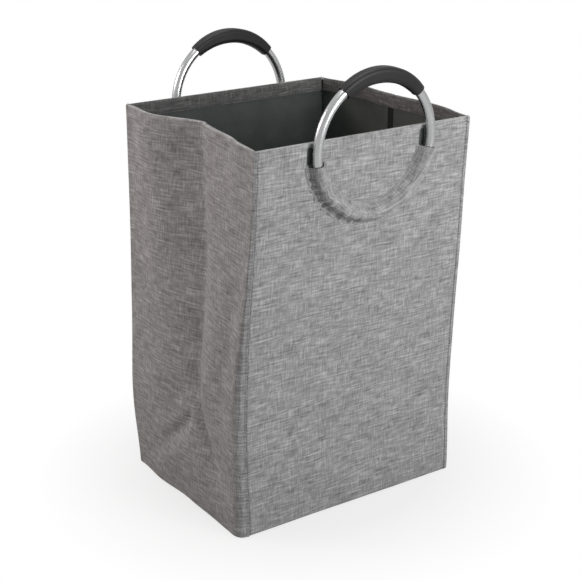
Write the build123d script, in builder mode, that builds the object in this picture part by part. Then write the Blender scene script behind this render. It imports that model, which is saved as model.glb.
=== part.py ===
from build123d import *
import math
import os

os.makedirs("parts", exist_ok=True)

# A fold-flat laundry hamper: two stiff walls with ring handles, two creased side
# gussets and a two-leaf base that folds up along its middle.
# Millimetres, +Z up, the front wall faces -Y, and the origin is the middle of the
# footprint on the floor.

# Body
body_width = 324.0
rim_depth = 306.0
floor_depth = 262.0
body_height = 500.0
crease_inset = 14.0
wall_corner_radius = 8.0
bow_at_rim = 10.5
bow_at_foot = 0.1
bow_sections = 3
bow_fit = 0.05

# Cloth, boards and lining
cloth = 1.0
board = 2.0
lining = 0.6
base_board = 2.2
gore_cloth = 1.4
board_margin = 7.0
hem_cloth = 0.8
hem_height = 16.0

# Room that lets the panels fold
swing_gap = 0.4
crease_gap = 0.7
board_crease_gap = 5.0
seam_gap = 0.6
base_setback = 5.4
foot_rise = 15.5

# Ring handles
ring_radius = 85.0
ring_drop = 14.0
tube_diameter = 12.0
tube_wall = 1.2
tube_joint_gap = 1.0
plug_length = 44.0
plug_fit = 0.15

# Moulded grips
grip_half_angle = 41.0
grip_turn = 5.0
grip_middle_thickness = 19.0
grip_end_thickness = 15.2
grip_middle_depth = 18.6
grip_end_depth = 15.2
grip_corner_radius = 5.6
grip_fit = 0.15
grip_sections = 5

# Handle sleeves and the slits that the rings come out of
sleeve_gap = 0.6
sleeve_cloth = 1.2
sleeve_flange = 7.0
sleeve_mouth_angle = 99.0
slit_width = 13.0
slit_below_rim = 5.0

# Derived places
lean_run = (rim_depth - floor_depth) / 2
wall_length = math.hypot(body_height, lean_run)
wall_stack = cloth + board + lining
corner_depth = wall_stack + hem_cloth + swing_gap
gusset_start = corner_depth + swing_gap
base_stack = cloth + base_board + lining
fold_rise = base_stack + foot_rise
crease_inset_floor = crease_inset * floor_depth / rim_depth
tube_radius = tube_diameter / 2
ring_stand = tube_radius + sleeve_gap
front_end = -1
back_end = 1


def save(piece, label):
    piece.part.label = label
    export_step(piece.part, f"parts/{label}.step")


# Each wall leans out a little towards the rim; its plane lies on the outer face.
def wall_plane(side):
    return Plane(
        origin=(0, side * floor_depth / 2, 0),
        x_dir=(-side, 0, 0),
        z_dir=(0, side * body_height, -lean_run),
    )


def wall_layer(side, inset, depth, thickness, top, slits=False):
    plane = wall_plane(side)
    with BuildPart() as layer:
        with BuildSketch(plane.offset(-depth)) as face:
            with Locations((0, inset)):
                Rectangle(
                    body_width - 2 * inset,
                    top - 2 * inset,
                    align=(Align.CENTER, Align.MIN),
                )
            fillet(face.vertices().group_by(Axis.Z)[0], wall_corner_radius)
            if slits:
                with Locations((-ring_radius, slit_middle), (ring_radius, slit_middle)):
                    SlotOverall(slit_length, slit_width, rotation=90, mode=Mode.SUBTRACT)
        extrude(amount=-thickness)
    return layer


# The rim of each wall is a folded hem: a cap over the edge and a band inside.
def wall_hem(side):
    plane = wall_plane(side)
    band_width = body_width - 2 * corner_depth
    with BuildPart() as hem:
        with BuildSketch(plane):
            with Locations((0, wall_length)):
                Rectangle(body_width, hem_cloth, align=(Align.CENTER, Align.MAX))
        extrude(amount=-wall_stack)
        with BuildSketch(plane.offset(-wall_stack)):
            with Locations((0, wall_length)):
                Rectangle(band_width, hem_height, align=(Align.CENTER, Align.MAX))
        extrude(amount=-hem_cloth)
    return hem


def ring_plane(side):
    plane = wall_plane(side)
    centre = plane.from_local_coords(Vector(0, wall_length - ring_drop, ring_stand))
    return Plane(origin=centre, x_dir=plane.x_dir, z_dir=plane.z_dir)


# A half plane through the ring's axis, turned away from the top of the ring.
def radial_plane(ring, angle):
    turn = math.radians(angle)
    outwards = ring.y_dir * math.cos(turn) - ring.x_dir * math.sin(turn)
    return Plane(origin=ring.origin, x_dir=outwards, z_dir=outwards.cross(ring.z_dir))


def ring_axis(ring):
    return Axis(ring.origin, ring.z_dir)


# The sleeve is an arched strip of cloth, sewn down along both of its flanges.
def handle_sleeve(side):
    ring = ring_plane(side)
    arch = tube_radius + sleeve_gap
    with BuildPart() as sleeve:
        with BuildSketch(radial_plane(ring, sleeve_mouth_angle)):
            with Locations((ring_radius, 0)):
                Circle(arch + sleeve_cloth)
            with Locations((ring_radius, -ring_stand)):
                Rectangle(2 * (arch + sleeve_cloth), ring_stand, align=(Align.CENTER, Align.MIN))
                Rectangle(
                    2 * (arch + sleeve_cloth + sleeve_flange),
                    sleeve_cloth,
                    align=(Align.CENTER, Align.MIN),
                )
            with Locations((ring_radius, 0)):
                Circle(arch, mode=Mode.SUBTRACT)
            with Locations((ring_radius, -ring_stand)):
                Rectangle(
                    2 * arch,
                    ring_stand,
                    align=(Align.CENTER, Align.MIN),
                    mode=Mode.SUBTRACT,
                )
        below_face = 2 * (arch + sleeve_cloth + sleeve_flange)
        revolve(axis=ring_axis(ring), revolution_arc=360 - 2 * sleeve_mouth_angle)
        with BuildSketch(wall_plane(side)):
            with Locations((0, wall_length)):
                Rectangle(2 * body_width, 2 * body_height)
        extrude(amount=-below_face, mode=Mode.SUBTRACT)
    return sleeve


# The tube is bent round almost a full turn; its butt joint hides in the grip.
def ring_tube(side):
    ring = ring_plane(side)
    gap_angle = math.degrees(tube_joint_gap / ring_radius)
    with BuildPart() as tube:
        with BuildSketch(radial_plane(ring, gap_angle / 2)):
            with Locations((ring_radius, 0)):
                Circle(tube_radius)
                Circle(tube_radius - tube_wall, mode=Mode.SUBTRACT)
        revolve(axis=ring_axis(ring), revolution_arc=360 - gap_angle)
    return tube


def ring_plug(side):
    ring = ring_plane(side)
    plug_angle = math.degrees(plug_length / ring_radius)
    with BuildPart() as plug:
        with BuildSketch(radial_plane(ring, -plug_angle / 2)):
            with Locations((ring_radius, 0)):
                Circle(tube_radius - tube_wall - plug_fit)
        revolve(axis=ring_axis(ring), revolution_arc=plug_angle)
    return plug


# The grip swells towards its middle and is split along the plane of the ring. Each ring stands a
# little turned in its sleeve, with the grip nearer to the right.
def grip_shell(side, keep):
    ring = ring_plane(side)
    with BuildPart() as shell:
        for section in range(grip_sections):
            share = 2 * section / (grip_sections - 1) - 1
            swell = 1 - share * share
            thickness = grip_end_thickness + swell * (grip_middle_thickness - grip_end_thickness)
            depth = grip_end_depth + swell * (grip_middle_depth - grip_end_depth)
            with BuildSketch(radial_plane(ring, share * grip_half_angle + side * grip_turn)):
                with Locations((ring_radius, 0)):
                    RectangleRounded(thickness, depth, grip_corner_radius)
        loft()
        with BuildSketch(radial_plane(ring, 0)):
            with Locations((ring_radius, 0)):
                Circle(tube_radius + grip_fit)
        revolve(axis=ring_axis(ring), mode=Mode.SUBTRACT)
        split(bisect_by=ring, keep=keep)
    return shell


# One half of a side gusset, flat from the wall's corner edge to the middle crease.
def gusset_plane(side, end):
    corner_foot = Vector(side * body_width / 2, end * floor_depth / 2, 0)
    corner_top = Vector(side * body_width / 2, end * rim_depth / 2, body_height)
    crease_top = Vector(side * (body_width / 2 - crease_inset), 0, body_height)
    outward = (corner_top - corner_foot).cross(crease_top - corner_foot) * (side * end)
    along_edge = corner_top - corner_foot
    return Plane(origin=corner_foot, x_dir=along_edge.cross(outward), z_dir=outward)


# The two ends of the crease, as places in that flat half.
def crease_ends(side, end):
    plane = gusset_plane(side, end)
    foot = Vector(side * (body_width / 2 - crease_inset_floor), 0, 0)
    top = Vector(side * (body_width / 2 - crease_inset), 0, body_height)
    return plane.to_local_coords(foot), plane.to_local_coords(top)


# Its outline, from the distance to the corner edge, the rise over the folded foot,
# the gap to the crease and the drop below the rim.
def gusset_outline(side, end, start, rise, gap, drop):
    inwards = -side * end
    crease_foot, crease_top = crease_ends(side, end)
    foot_u = inwards * crease_foot.X
    top_u = inwards * crease_top.X
    crease_slope = (top_u - foot_u) / (crease_top.Y - crease_foot.Y)
    rim_slope = (crease_top.Y - wall_length) / top_u
    apex_u = (foot_u + crease_slope * (rise - crease_foot.Y) - gap) / (1 - crease_slope)
    peak_u = top_u - gap - crease_slope * drop
    return [
        (inwards * start, start + rise),
        (inwards * apex_u, apex_u + rise),
        (inwards * peak_u, wall_length + rim_slope * peak_u - drop),
        (inwards * start, wall_length + rim_slope * start - drop),
    ]


def flat_layer(side, end, outline, depth, thickness):
    with BuildPart() as layer:
        with BuildSketch(gusset_plane(side, end).offset(-depth)):
            with BuildLine():
                Polyline(*outline, close=True)
            make_face()
        extrude(amount=-thickness)
    return layer


# The halves next to the back wall stand bowed outwards, little at the foot and most at the rim. A
# layer of such a half is lofted between arched strips and then cut to its outline.
def bowed_layer(side, end, outline, depth, thickness):
    plane = gusset_plane(side, end)
    crease_foot, crease_top = crease_ends(side, end)
    inner_depth = depth + thickness - bow_fit
    with BuildPart() as layer:
        for section in range(bow_sections):
            share = section / (bow_sections - 1)
            bow = bow_at_foot + (bow_at_rim - bow_at_foot) * share**2
            width = crease_foot.X + (crease_top.X - crease_foot.X) * share
            origin = plane.from_local_coords(Vector(0, share * wall_length, 0))
            with BuildSketch(Plane(origin=origin, x_dir=plane.x_dir, z_dir=-plane.y_dir)):
                with BuildLine():
                    outer = ThreePointArc((0, -depth), (width / 2, bow - depth), (width, -depth))
                    inner = ThreePointArc(
                        (0, -inner_depth), (width / 2, bow - inner_depth), (width, -inner_depth)
                    )
                    Line(outer @ 0, inner @ 0)
                    Line(outer @ 1, inner @ 1)
                make_face()
        loft()
        with BuildSketch(plane):
            with BuildLine():
                Polyline(*outline, close=True)
            make_face()
        extrude(amount=2 * bow_at_rim, both=True, mode=Mode.INTERSECT)
    return layer


def gusset_layer(side, end, outline, depth, thickness):
    shaped = bowed_layer if end == back_end else flat_layer
    return shaped(side, end, outline, depth, thickness)


def gusset_hem(side, end):
    outer = gusset_outline(side, end, gusset_start, fold_rise, crease_gap, 0)
    under = gusset_outline(side, end, gusset_start, fold_rise, crease_gap, hem_cloth)
    lower = gusset_outline(side, end, gusset_start, fold_rise, crease_gap, hem_height)
    cap_outline = [outer[3], outer[2], under[2], under[3]]
    band_outline = [outer[3], outer[2], lower[2], lower[3]]
    with BuildPart() as hem:
        add(gusset_layer(side, end, cap_outline, 0, wall_stack + hem_cloth).part)
        add(gusset_layer(side, end, band_outline, wall_stack, hem_cloth).part)
    return hem


# The soft gore under the gusset's slanting folds stands on the edge of the base.
def gore_half(side, end):
    plane = gusset_plane(side, end)
    outline = gusset_outline(side, end, gusset_start, fold_rise, swing_gap, 0)
    fold_foot = plane.from_local_coords(Vector(*outline[0]))
    apex = plane.from_local_coords(Vector(*outline[1]))
    hinge = Vector(side * body_width / 2, 0, base_stack + swing_gap)
    lean = abs(hinge.X) - abs(apex.X)
    rise_to_apex = apex.Z - hinge.Z
    gore_plane = Plane(
        origin=hinge,
        x_dir=(0, side, 0),
        z_dir=(side * rise_to_apex, 0, lean),
    )
    low = gore_plane.to_local_coords(fold_foot)
    high = gore_plane.to_local_coords(apex)
    with BuildPart() as gore:
        with BuildSketch(gore_plane):
            with BuildLine():
                Polyline(
                    (high.X, 0),
                    (low.X, 0),
                    (low.X, low.Y - seam_gap),
                    (high.X, high.Y - seam_gap),
                    close=True,
                )
            make_face()
        extrude(amount=-gore_cloth)
    return gore


# One leaf of the base, from the foot of its wall to the fold along the middle.
def base_leaf(end, inset, middle_gap, height, thickness):
    wall_edge = floor_depth / 2 - base_setback - inset
    with BuildPart() as leaf:
        with BuildSketch(Plane.XY.offset(height)):
            with Locations((0, end * (wall_edge + middle_gap) / 2)):
                Rectangle(body_width - 2 * inset, wall_edge - middle_gap)
        extrude(amount=thickness)
    return leaf


# The slit reaches from just under the hem to the mouth of the sleeve.
mouth_drop = ring_drop - ring_radius * math.cos(math.radians(sleeve_mouth_angle))
slit_length = mouth_drop - slit_below_rim
slit_middle = wall_length - (mouth_drop + slit_below_rim) / 2
skin_top = wall_length - hem_cloth

for name, end in (("front", front_end), ("back", back_end)):
    save(wall_layer(end, 0, 0, cloth, skin_top, slits=True), f"{name}_cloth")
    save(wall_layer(end, board_margin, cloth, board, wall_length), f"{name}_board")
    save(wall_layer(end, 0, cloth + board, lining, skin_top), f"{name}_lining")
    save(wall_hem(end), f"{name}_hem")
    save(handle_sleeve(end), f"{name}_handle_sleeve")
    save(ring_tube(end), f"{name}_ring_tube")
    save(ring_plug(end), f"{name}_ring_plug")
    save(grip_shell(end, Keep.TOP), f"{name}_grip_outer_shell")
    save(grip_shell(end, Keep.BOTTOM), f"{name}_grip_inner_shell")
    save(base_leaf(end, 0, crease_gap, 0, cloth), f"{name}_base_cloth")
    save(base_leaf(end, board_margin, board_crease_gap, cloth, base_board), f"{name}_base_board")
    save(base_leaf(end, 0, crease_gap, cloth + base_board, lining), f"{name}_base_lining")

for side_name, side in (("left", -1), ("right", 1)):
    for end_name, end in (("front", front_end), ("back", back_end)):
        name = f"{side_name}_{end_name}_gusset"
        skin = gusset_outline(side, end, gusset_start, fold_rise, crease_gap, hem_cloth)
        stiff = gusset_outline(
            side,
            end,
            gusset_start + board_margin,
            fold_rise + board_margin,
            board_crease_gap,
            board_margin,
        )
        save(gusset_layer(side, end, skin, 0, cloth), f"{name}_cloth")
        save(gusset_layer(side, end, stiff, cloth, board), f"{name}_board")
        save(gusset_layer(side, end, skin, cloth + board, lining), f"{name}_lining")
        save(gusset_hem(side, end), f"{name}_hem")
        save(gore_half(side, end), f"{side_name}_{end_name}_gore")
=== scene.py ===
import math
from functools import partial

import bpy
import numpy as np
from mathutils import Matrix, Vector
from mathutils.geometry import delaunay_2d_cdt


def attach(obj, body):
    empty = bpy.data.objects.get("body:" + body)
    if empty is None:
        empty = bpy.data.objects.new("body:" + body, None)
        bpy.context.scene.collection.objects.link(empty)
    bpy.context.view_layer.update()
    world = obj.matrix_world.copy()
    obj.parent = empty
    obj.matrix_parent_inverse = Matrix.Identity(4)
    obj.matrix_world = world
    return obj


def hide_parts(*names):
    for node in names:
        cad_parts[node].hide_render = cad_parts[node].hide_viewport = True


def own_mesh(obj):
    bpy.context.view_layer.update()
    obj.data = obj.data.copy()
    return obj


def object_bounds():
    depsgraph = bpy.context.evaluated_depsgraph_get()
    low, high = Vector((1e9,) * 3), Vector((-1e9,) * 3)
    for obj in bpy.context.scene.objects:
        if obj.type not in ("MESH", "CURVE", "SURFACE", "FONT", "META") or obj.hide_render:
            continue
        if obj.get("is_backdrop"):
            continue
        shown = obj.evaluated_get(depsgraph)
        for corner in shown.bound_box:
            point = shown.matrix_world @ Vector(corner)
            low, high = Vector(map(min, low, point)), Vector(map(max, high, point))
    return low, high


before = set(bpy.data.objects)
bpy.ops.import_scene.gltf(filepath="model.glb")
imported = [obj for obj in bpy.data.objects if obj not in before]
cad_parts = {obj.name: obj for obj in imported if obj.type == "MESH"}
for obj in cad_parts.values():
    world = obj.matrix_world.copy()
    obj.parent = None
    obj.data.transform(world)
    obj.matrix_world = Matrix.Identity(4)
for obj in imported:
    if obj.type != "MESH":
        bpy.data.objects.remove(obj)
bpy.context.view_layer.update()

# Sizes of the hamper, in metres, as in the part's source
WIDTH = 0.324
HEIGHT = 0.500
RIM_DEPTH = 0.306
FLOOR_DEPTH = 0.262
WALL_LENGTH = math.hypot(HEIGHT, (RIM_DEPTH - FLOOR_DEPTH) / 2)
LEAN = (RIM_DEPTH - FLOOR_DEPTH) / 2 / HEIGHT
CLOTH = 0.0010
BOARD = 0.0020
LINING = 0.0006
STACK = CLOTH + BOARD + LINING
BOARD_MARGIN = 0.007
HEM_BAND = 0.016
HEM_THICKNESS = 0.0006
HEM_PROUD = 0.0003
HEM_STITCH_INSET = 0.0022
LINING_BELOW_RIM = 0.010
LAYER_GAP = 0.0001
RIM_RADIUS = 0.0023
FOOT_RADIUS = 0.0035
SEAM_INSET = 0.0026
BASE_TOP = 0.0038
BASE_SETBACK = 0.0054
FOLD_RISE = 0.0193
RING_RADIUS = 0.085
RING_DROP = 0.014
SLEEVE_MOUTH = math.radians(99)
SLIT_WIDTH = 0.0085
SLIT_BELOW_RIM = 0.005
SLIT_END = RING_DROP - RING_RADIUS * math.cos(SLEEVE_MOUTH)
GUSSET_SCALE = 0.142

# Groove beside the left and right corner seams of a wall
GROOVE_DEPTH = {-1: 0.0031, 1: 0.0005}
GROOVE_WIDTH = 0.0021

# Spacing of the points of a sheet
WALL_STEP = 0.0042
GUSSET_STEP = 0.0046

SIDES = {"left": -1, "right": 1}
ENDS = {"front": -1, "back": 1}

# How far each corner seam stands out of true, from the foot up to the rim
CORNER_HEIGHTS = (0.0, 0.10, 0.20, 0.30, 0.40, 0.50)
CORNER_OUT = {
    (-1, -1): (0.0066, 0.0115, 0.0112, 0.0105, 0.007, 0.0045),
    (-1, 1): (0.009, 0.015, 0.007, 0.0045, 0.0025, 0.0005),
    (1, -1): (-0.004, -0.0075, -0.0055, -0.0075, -0.0105, -0.0085),
    (1, 1): (0.001, 0.001, -0.001, -0.005, -0.010, -0.014),
}
# How far the gusset cloth rolls out past that seam
CORNER_ROLL = {
    (-1, -1): (0.014, 0.0110, 0.0110, 0.0045, 0.0015, 0.0010),
    (-1, 1): (0.004, 0.004, 0.004, 0.003, 0.003, 0.001),
    (1, -1): (0.0025, 0.0025, 0.0025, 0.002, 0.002, 0.001),
    (1, 1): (0.002, 0.002, 0.002, 0.002, 0.002, 0.001),
}
# Bow of the walls between foot and rim
WALL_BOW = {-1: -0.006, 1: 0.005}

# The left gusset is folded in at its crease, the right one stands open; each half has its own bow
CREASE_IN = {-1: 0.0245, 1: -0.009}
HALF_BOW = {(-1, -1): -0.003, (-1, 1): 0.0145, (1, -1): 0.008, (1, 1): 0.008}
# How far the crease wanders from the middle, in shares of the half depth
CREASE_HEIGHTS = (0.0, 0.08, 0.20, 0.28, 0.36, 0.42, 0.50)
CREASE_SHIFT = (-0.06, -0.13, -0.15, -0.14, -0.05, 0.03, 0.07)
CREASE_SOFTNESS = 0.03
# The inverted V under the crease: height of its top, and how far its front and back legs stand out
LEG_TOP = 0.126
LEG_WIDTH = 0.014
LEG_OUT = {-1: 0.0030, 1: -0.0085}
# Pressed line of the left crease, which runs on down the front leg
PRESSED_DEPTH = 0.0135
PRESSED_WIDTH = 0.12
PRESSED_TURN = 0.15
# Slack beside the front corner of a gusset: a hollow and a fold, as height, place and width
SLACK_HOLLOW = (-0.0034, -0.13, 0.11)
SLACK_FOLD = (0.0022, 0.20, 0.14)
BELLY = 0.0040
HOLLOW = 0.0045


def ease(value, low, high):
    t = np.clip((value - low) / (high - low), 0.0, 1.0)
    return t * t * (3 - 2 * t)


def swell(value, low, high):
    t = np.clip((value - low) / (high - low), 0.0, 1.0)
    return np.sin(np.pi * t) ** 2


def mound(value, middle, width):
    return np.exp(-(((value - middle) / width) ** 2))


def ripple(a, b, seed, length):
    """Slow soft waves of about that length, from -1 to 1."""
    rng = np.random.default_rng(seed)
    total = np.zeros_like(a)
    for _ in range(7):
        turn, stretch, start = rng.uniform(0, 2 * np.pi), rng.uniform(0.7, 1.5), rng.uniform(0, 6.28)
        k = 2 * np.pi * stretch / length
        total = total + np.sin(k * (a * math.cos(turn) + b * math.sin(turn)) + start)
    return total / 3.2


# Shape of the standing hamper: the outer faces of its four panels


def by_height(z, heights, values):
    """A value given at some heights, read smoothly between them."""
    near = [np.interp(z + step, heights, values) for step in (-0.03, -0.015, 0.0, 0.015, 0.03)]
    return np.mean(near, axis=0)


def corner_x(side, end, z):
    """Where a corner seam stands across the hamper; corner_y is its place from front to back."""
    return side * (WIDTH / 2 + by_height(z, CORNER_HEIGHTS, CORNER_OUT[side, end]))


def corner_y(end, z):
    return end * (FLOOR_DEPTH / 2 + LEAN * z + WALL_BOW[end] * swell(z, -0.01, 0.40))


def pucker(end, x, z):
    """Gathers in the wall cloth just outside the stitched edge of the handle sleeve."""
    along = z * WALL_LENGTH / HEIGHT - (WALL_LENGTH - RING_DROP)
    r, turn = np.hypot(x, along), np.arctan2(x * -end, along)
    below = ease(np.abs(turn), SLEEVE_MOUTH - 0.1, SLEEVE_MOUTH + 0.25)
    left = 0.05 + 0.95 * swell(turn, -3.3, -1.4)
    folds = (np.sin(turn * 52 + 2.0 * np.sin(turn * 7.0)) * 0.5 + 0.5) ** 2
    return 0.0016 * below * left * folds * mound(r, RING_RADIUS + 0.017, 0.005)


def wall_face(end, a, z, gathers):
    """Outer face of a wall, a being the distance from its middle across the flat cloth."""
    w = (a / (WIDTH / 2) + 1) / 2
    x = corner_x(-1, end, z) * (1 - w) + corner_x(1, end, z) * w
    y = corner_y(end, z)
    calm = 1 - ease(z, 0.33, 0.40)
    soft = 0.0011 * ripple(x, z, 11 + end, 0.16) * calm * swell(a, -WIDTH / 2, WIDTH / 2)
    if gathers:
        soft = soft + pucker(end, x, z)
    return np.stack([x, y + end * soft, z], axis=1)


def corner_roll(side, end, a, z):
    """The round of the gusset cloth as it comes out from the seam at a corner."""
    reach = by_height(z, CORNER_HEIGHTS, CORNER_ROLL[side, end])
    distance = (1 - a * end) * (FLOOR_DEPTH / 2 + LEAN * z)
    t = 1 - np.clip(distance / (1.15 * reach), 0.0, 1.0)
    return reach * np.sqrt(1 - t * t) * ((1 + a * end) / 2) ** 1.6


def side_face(side, a, z):
    """Outer face of a gusset and its gore, a running from the front corner (-1) to the back (1)."""
    w = (a + 1) / 2
    x = corner_x(side, -1, z) * (1 - w) + corner_x(side, 1, z) * w
    y = corner_y(-1, z) * (1 - w) + corner_y(1, z) * w
    shift = by_height(z, CREASE_HEIGHTS, CREASE_SHIFT)
    b = a - shift * (1 - a * a)
    k = CREASE_SOFTNESS
    valley = (math.hypot(1, k) - np.hypot(b, k)) / (math.hypot(1, k) - k)
    inset = 0.0005 + CREASE_IN[side] * ease(z, 0.09, 0.53)
    rising = 0.2 + 0.8 * ease(z, 0.10, 0.48)
    bow = np.where(b > 0, HALF_BOW[side, 1], HALF_BOW[side, -1]) * swell(np.abs(b), 0.04, 1.0) * rising
    slope = -0.56 - 0.34 * ease(z, 0.16, 0.50)
    slack = sum(out * mound(a - slope, place, width) for out, place, width in (SLACK_HOLLOW, SLACK_FOLD))
    slack = slack * swell(a, -1.0, -0.1) * ease(z, 0.04, 0.14)
    above = z - LEG_TOP * (1 - np.abs(b))
    span = swell(np.abs(b), -0.9, 1.0)
    leg = np.where(b < 0, LEG_OUT[-1], LEG_OUT[1]) * ease(np.abs(b), 0.0, 0.08)
    ridge = leg * mound(above, 0.0, LEG_WIDTH) * span
    belly = BELLY * (1 - a**4) * swell(z, -0.05, 0.17) * ease(-above, -0.01, 0.05)
    hollow = HOLLOW * swell(above, 0.0, 0.09) * span * (1 - ease(z, 0.14, 0.26))
    calm = swell(a, -1.0, 1.0) * (1 - 0.6 * ease(z, 0.40, 0.50))
    soft = 0.0012 * ripple(y, z, 31 + side, 0.13) * calm
    roll = corner_roll(side, -1, a, z) + corner_roll(side, 1, a, z)
    out = roll - inset * valley + bow + slack + ridge + belly - hollow + soft
    if side < 0:
        along_leg = b + 0.80 * np.clip(1 - z / PRESSED_TURN, 0.0, 1.0)
        pressed = PRESSED_DEPTH * np.exp(-np.hypot(along_leg, 0.02) / PRESSED_WIDTH)
        out = out - pressed * ease(z, 0.01, 0.11) * (1 - 0.6 * ease(z, 0.30, 0.50))
    return np.stack([x + side * out, y, z], axis=1)


def tangents(face, a, b, step_a, step_b):
    du = face(a + step_a, b) - face(a - step_a, b)
    dv = face(a, b + step_b) - face(a, b - step_b)
    return du / np.linalg.norm(du, axis=1)[:, None], dv / np.linalg.norm(dv, axis=1)[:, None]


def lay(face, inwards, a, b, depth, step_a):
    """Points of a layer under an outer face. Past the rim the cloth turns over and down inside, and
    under the foot it turns in below the base."""
    straight = np.clip(b, FOOT_RADIUS, HEIGHT - RIM_RADIUS)
    over = np.clip(b - (HEIGHT - RIM_RADIUS), 0, None)
    turn = np.clip(over / RIM_RADIUS, 0, np.pi)
    down = np.clip(over - np.pi * RIM_RADIUS, 0, None)
    under = np.clip(FOOT_RADIUS - b, 0, None)
    curl = np.clip(under / FOOT_RADIUS, 0, np.pi / 2)
    tucked = np.clip(under - FOOT_RADIUS * np.pi / 2, 0, None)
    spot = straight - down
    u, v = tangents(face, a, spot, step_a, 0.002)
    n = np.cross(u, v)
    n = n / np.linalg.norm(n, axis=1)[:, None]
    n = n * np.sign(n @ np.asarray(inwards, float))[:, None]
    rise = RIM_RADIUS * np.sin(turn) - FOOT_RADIUS * np.sin(curl)
    inset = RIM_RADIUS * (1 - np.cos(turn)) + FOOT_RADIUS * (1 - np.cos(curl)) + tucked
    points = face(a, spot) + v * rise[:, None] + n * inset[:, None]
    out = n * (np.cos(turn) * np.cos(curl))[:, None] - v * np.sin(turn)[:, None] + v * np.sin(curl)[:, None]
    return points + out * np.broadcast_to(depth, a.shape)[:, None]


# Mesh making


def mesh_piece(name, points, faces, uv=None, material=None):
    mesh = bpy.data.meshes.new(name)
    mesh.from_pydata([tuple(p) for p in points], [], [tuple(int(i) for i in f) for f in faces])
    mesh.update()
    if uv is not None:
        layer = mesh.uv_layers.new(name="cloth")
        loops = np.zeros(len(mesh.loops), np.int32)
        mesh.loops.foreach_get("vertex_index", loops)
        layer.data.foreach_set("uv", np.asarray(uv, np.float32)[loops].ravel())
    mesh.polygons.foreach_set("use_smooth", [True] * len(mesh.polygons))
    if material:
        mesh.materials.append(material)
    piece = bpy.data.objects.new(name, mesh)
    bpy.context.collection.objects.link(piece)
    return piece


def finished(piece, thickness=None):
    """Gives a sheet its thickness and makes the result a plain mesh."""
    if thickness:
        solid = piece.modifiers.new("thickness", "SOLIDIFY")
        solid.offset = -1.0
        solid.use_even_offset = False
        solid.thickness = thickness
    deps = bpy.context.evaluated_depsgraph_get()
    mesh = bpy.data.meshes.new_from_object(piece.evaluated_get(deps), depsgraph=deps)
    old = piece.data
    piece.modifiers.clear()
    piece.data = mesh
    if thickness:
        mesh.set_sharp_from_angle(angle=math.radians(60))
    mesh.name = old.name
    bpy.data.meshes.remove(old)
    return piece


def inside_outline(points, outline):
    x, y = points[:, 0], points[:, 1]
    hit = np.zeros(len(points), bool)
    for (x0, y0), (x1, y1) in zip(outline, np.roll(outline, -1, axis=0)):
        cross = (y0 > y) != (y1 > y)
        with np.errstate(divide="ignore", invalid="ignore"):
            hit ^= cross & (x < (x1 - x0) * (y - y0) / (y1 - y0) + x0)
    return hit


def edge_points(outline, step):
    found = []
    for p, q in zip(outline, np.roll(outline, -1, axis=0)):
        count = max(1, int(round(np.linalg.norm(q - p) / step)))
        found += [p + (q - p) * i / count for i in range(count)]
    return np.array(found)


def cut_cloth(outline, holes, step, rows=(), columns=()):
    """A flat cut of cloth as points and faces: an outline with holes, filled with an even grid, with
    closer rows where it turns over an edge and closer columns beside a seam."""
    loops = [edge_points(np.array(outline, float), step)] + [np.array(h, float) for h in holes]
    low, high = loops[0].min(axis=0), loops[0].max(axis=0)
    across = np.linspace(low[0], high[0], max(2, int((high[0] - low[0]) / step)) + 1)
    across = np.unique(np.round(np.concatenate([across, np.array(columns, float)]), 6))
    up = np.arange(low[1], high[1], step)
    up = np.unique(np.round(np.concatenate([up, np.array(rows, float)]), 6))
    grid = np.array([(x, y) for y in up for x in across])
    keep = inside_outline(grid, loops[0])
    for hole in loops[1:]:
        keep &= ~inside_outline(grid, hole)
    edges, every, start = [], [], 0
    for loop in loops:
        count = len(loop)
        edges += [(start + i, start + (i + 1) % count) for i in range(count)]
        every.append(loop)
        start += count
    border = np.concatenate(every)
    near = np.array([np.min(np.sum((border - g) ** 2, axis=1)) for g in grid[keep]])
    every.append(grid[keep][near > (0.3 * step) ** 2])
    flat = np.concatenate(every)
    verts, _, faces, *_ = delaunay_2d_cdt([Vector(p) for p in flat], edges, [], 0, 1e-7)
    verts = np.array([tuple(v) for v in verts])
    faces = [tuple(f) for f in faces]
    middle = np.array([verts[list(f)].mean(axis=0) for f in faces])
    keep = inside_outline(middle, loops[0])
    for hole in loops[1:]:
        keep &= ~inside_outline(middle, hole)
    return verts, [f for f, k in zip(faces, keep) if k]


def grid_faces(rows, count):
    """Faces of a grid of points that is given row by row."""
    return [
        (r * count + c, r * count + c + 1, (r + 1) * count + c + 1, (r + 1) * count + c)
        for r in range(rows - 1)
        for c in range(count - 1)
    ]


def facing_out(points, faces, inwards):
    """Turns the faces of a sheet so that they face away from the inside."""
    p = np.array(points)
    area = np.zeros(3)
    for f in faces[:: max(1, len(faces) // 400)]:
        area += np.cross(p[f[1]] - p[f[0]], p[f[2]] - p[f[0]])
    if area @ np.asarray(inwards, float) > 0:
        return [tuple(reversed(f)) for f in faces]
    return faces


def flat_area(verts, faces):
    total = 0.0
    for f in faces:
        p = verts[list(f)]
        x, y = p[:, 0], p[:, 1]
        total += abs(np.dot(x, np.roll(y, -1)) - np.dot(y, np.roll(x, -1))) / 2
    return total


# Finishes


def new_material(name):
    material = bpy.data.materials.new(name)
    material.use_nodes = True
    return material, material.node_tree.nodes, material.node_tree.links


def group_tree(name, inputs, outputs, kind="ShaderNodeTree"):
    tree = bpy.data.node_groups.new(name, kind)
    for label, carries, default in inputs:
        socket = tree.interface.new_socket(label, in_out="INPUT", socket_type=carries)
        if default is not None:
            socket.default_value = default
    for label, carries in outputs:
        tree.interface.new_socket(label, in_out="OUTPUT", socket_type=carries)
    return tree, tree.nodes.new("NodeGroupInput"), tree.nodes.new("NodeGroupOutput")


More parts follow.
